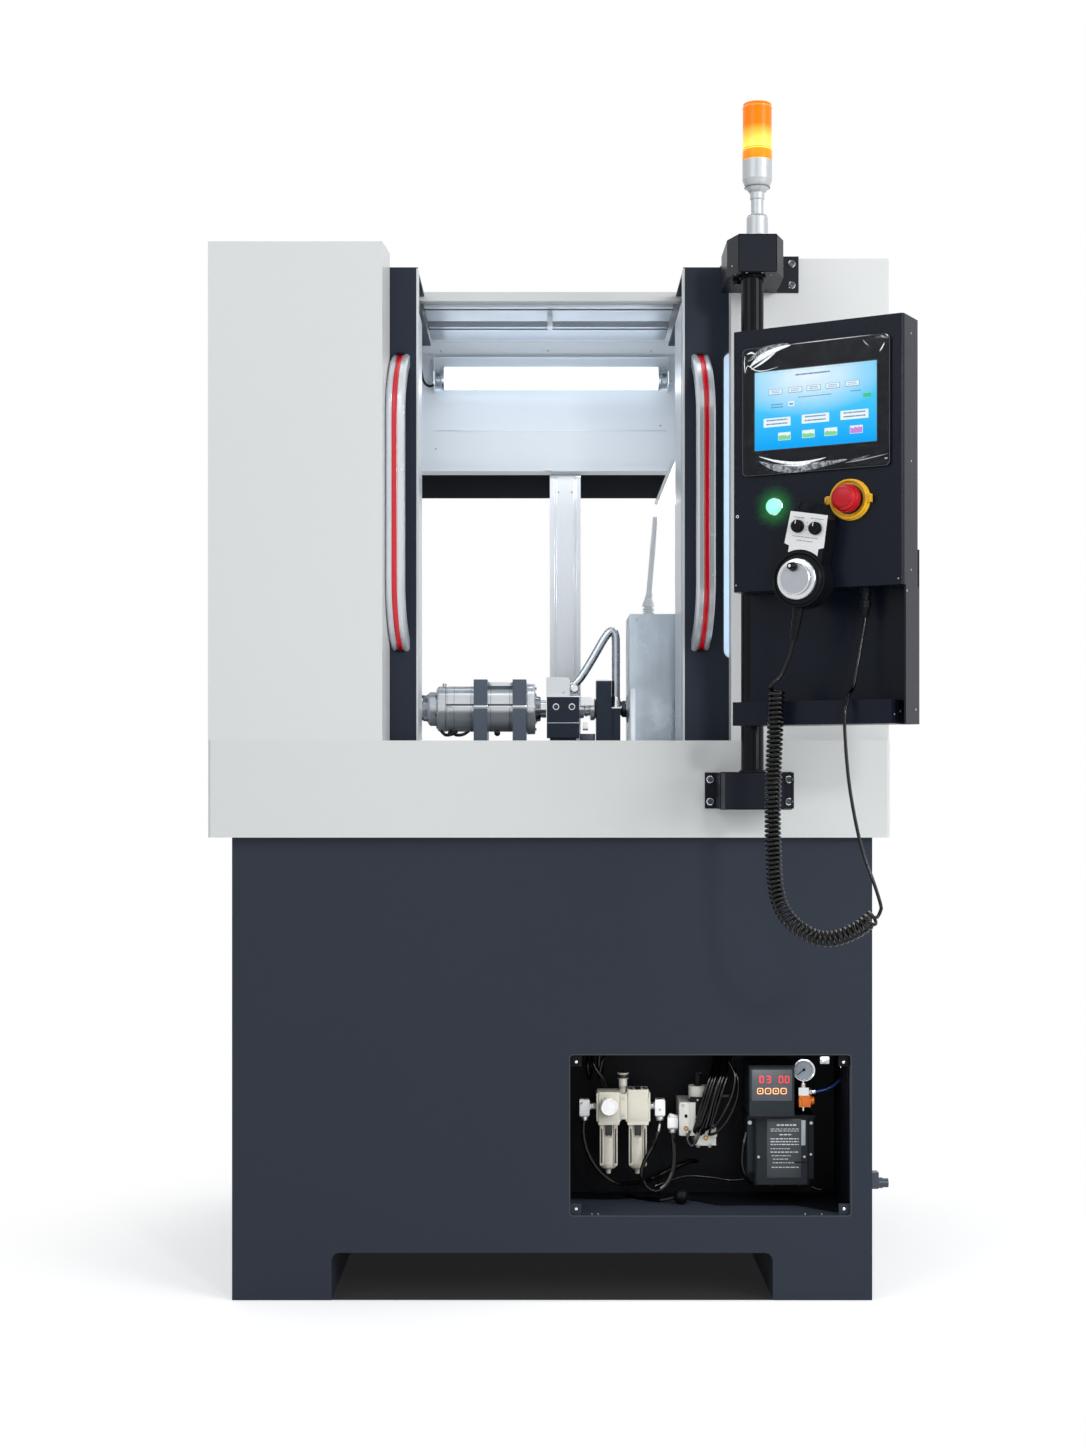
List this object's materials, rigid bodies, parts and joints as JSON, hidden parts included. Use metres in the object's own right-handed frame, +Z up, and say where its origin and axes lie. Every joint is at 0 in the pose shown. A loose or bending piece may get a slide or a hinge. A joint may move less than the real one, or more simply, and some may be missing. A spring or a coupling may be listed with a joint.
{
  "type": "rotary file grinding machine",
  "caption": "Floor-standing grinding machine for rotary files with sliding doors, a motor spindle facing a work head, a control panel that swivels on a pole and a service bay in the base.",
  "frame": {"origin": "on the floor, under the middle of the machine with its control panel", "axes": "+Z up, +X to the operator's right, +Y from the operator towards the machine's back"},
  "size_m": [1.19, 1.3707, 2.044],
  "materials": {
    "cabinet_paint": "dark navy grey powder coat",
    "cover_paint": "warm light grey powder coat",
    "door_paint": "dark navy grey powder coat",
    "panel_paint": "black fine-texture powder coat",
    "frame_paint": "dark powder coat",
    "aluminium": "anodised or mill finish",
    "steel": "ground",
    "cast": "painted casting",
    "black_oxide": "black oxide",
    "handle_metal": "bead blasted with a red strip",
    "window_clear": "clear sheet",
    "lamp_white": "lit diffuser",
    "lens_amber": "lit amber lens",
    "beacon_silver": "silver",
    "screen": "black glass bezel",
    "green_lamp": "lit green",
    "yellow": "satin",
    "red": "gloss",
    "black_plastic": "satin",
    "dial_silver": "turned",
    "cord_black": "satin",
    "filter_cream": "cream grey",
    "knob_white": "gloss",
    "valve_grey": "cast and painted",
    "gauge_metal": "plated case",
    "hose_black": "gloss tube"
  },
  "bodies": {
    "machine": {"base_cabinet": "cabinet_paint", "air_coupler": "black_oxide", "skirt": "cover_paint", "left_cover": "cover_paint", "right_cover": "cover_paint", "roof_panel": "cover_paint", "door_rails": "aluminium", "area_liner": "cover_paint", "header_panel": "cover_paint", "rear_frame": "frame_paint", "rear_post": "aluminium", "tube_lamp": "lamp_white", "machine_bed": "cast", "slide_rails": "steel", "steady_block": "black_oxide", "steady_fittings": "steel", "rest_plate": "black_oxide", "coolant_pipe": "steel", "work_lamp_arm": "frame_paint", "pole_brackets": "panel_paint", "bracket_screws": "black_oxide", "pole": "panel_paint", "beacon_stand": "beacon_silver", "beacon_lens": "lens_amber", "filter_unit": "filter_cream", "valve_manifold": "valve_grey", "lubricator": "black_plastic", "pressure_gauge": "gauge_metal", "air_hoses": "hose_black"},
    "left_door": {"left_door": "door_paint", "left_window": "window_clear", "left_handle": "handle_metal"},
    "right_door": {"right_door": "door_paint", "right_window": "window_clear", "right_handle": "handle_metal"},
    "grinding_slide": {"spindle_saddle": "cast", "spindle_clamps": "black_oxide", "spindle_body": "steel"},
    "grinding_spindle": {"spindle_shaft": "steel"},
    "work_slide": {"head_stock": "cast", "head_cover": "aluminium", "mist_pipe": "knob_white"},
    "work_spindle": {"work_spindle": "black_oxide"},
    "work_lamp": {"work_lamp_head": "lamp_white"},
    "control_panel": {"control_box": "panel_paint", "panel_back": "panel_paint", "screen_unit": "screen", "stop_ring": "yellow", "pendant_body": "black_plastic", "cord_lead": "cord_black", "cord_coil": "cord_black", "cord_tail": "cord_black"},
    "start_button": {"start_button": "green_lamp"},
    "stop_button": {"stop_button": "red"},
    "hand_dial": {"hand_dial": "dial_silver"},
    "dial_crank": {"dial_crank": "black_plastic"},
    "axis_knob": {"axis_knob": "black_plastic"},
    "rate_knob": {"rate_knob": "black_plastic"},
    "regulator_knob": {"regulator_knob": "knob_white"},
    "gauge_needle": {"gauge_needle": "black_plastic"}
  },
  "joints": [
    {"name": "left_door_slide", "type": "slide", "parent": "machine", "child": "left_door", "axis": [1, 0, 0], "range_m": [0, 0.2335]},
    {"name": "right_door_slide", "type": "slide", "parent": "machine", "child": "right_door", "axis": [-1, 0, 0], "range_m": [0, 0.2335]},
    {"name": "grinding_slide_x", "type": "slide", "parent": "machine", "child": "grinding_slide", "axis": [1, 0, 0], "range_m": [-0.045, 0]},
    {"name": "grinding_spindle_turn", "type": "hinge", "parent": "grinding_slide", "child": "grinding_spindle", "pos_m": [-0.04, 0.1065, 1.038], "axis": [1, 0, 0], "continuous": true},
    {"name": "work_slide_y", "type": "slide", "parent": "machine", "child": "work_slide", "axis": [0, 1, 0], "range_m": [-0.03, 0.04]},
    {"name": "work_spindle_turn", "type": "hinge", "parent": "work_slide", "child": "work_spindle", "pos_m": [0.2, 0.1065, 1.038], "axis": [1, 0, 0], "continuous": true},
    {"name": "work_lamp_tilt", "type": "hinge", "parent": "machine", "child": "work_lamp", "pos_m": [0.286, 0.1765, 1.462], "axis": [0, 1, 0], "range_deg": [-15, 15]},
    {"name": "panel_swivel", "type": "hinge", "parent": "machine", "child": "control_panel", "pos_m": [0.342, -0.4005, 1.3], "axis": [0, 0, 1], "range_deg": [-60, 30]},
    {"name": "start_button_press", "type": "slide", "parent": "control_panel", "child": "start_button", "axis": [0.5, 0.866, 0], "range_m": [0, 0.004], "stiffness_N_per_m": 400},
    {"name": "stop_button_press", "type": "slide", "parent": "control_panel", "child": "stop_button", "axis": [0.5, 0.866, 0], "range_m": [0, 0.006], "stiffness_N_per_m": 800},
    {"name": "hand_dial_turn", "type": "hinge", "parent": "control_panel", "child": "hand_dial", "pos_m": [0.38718, -0.6413, 1.216], "axis": [0.5, 0.866, 0], "continuous": true},
    {"name": "dial_crank_turn", "type": "hinge", "parent": "hand_dial", "child": "dial_crank", "pos_m": [0.37812, -0.65339, 1.23459], "axis": [0.5, 0.866, 0], "continuous": true},
    {"name": "axis_knob_turn", "type": "hinge", "parent": "control_panel", "child": "axis_knob", "pos_m": [0.38772, -0.6393, 1.29936], "axis": [0.5, 0.866, 0], "range_deg": [-90, 90]},
    {"name": "rate_knob_turn", "type": "hinge", "parent": "control_panel", "child": "rate_knob", "pos_m": [0.41331, -0.65407, 1.29415], "axis": [0.5, 0.866, 0], "range_deg": [-45, 45]},
    {"name": "regulator_knob_turn", "type": "hinge", "parent": "machine", "child": "regulator_knob", "pos_m": [0.107, -0.2085, 0.32], "axis": [0, 1, 0], "range_deg": [-170, 170]},
    {"name": "gauge_needle_turn", "type": "hinge", "parent": "machine", "child": "gauge_needle", "pos_m": [0.454, -0.1995, 0.385], "axis": [0, 1, 0], "range_deg": [-7, 263]}
  ]
}
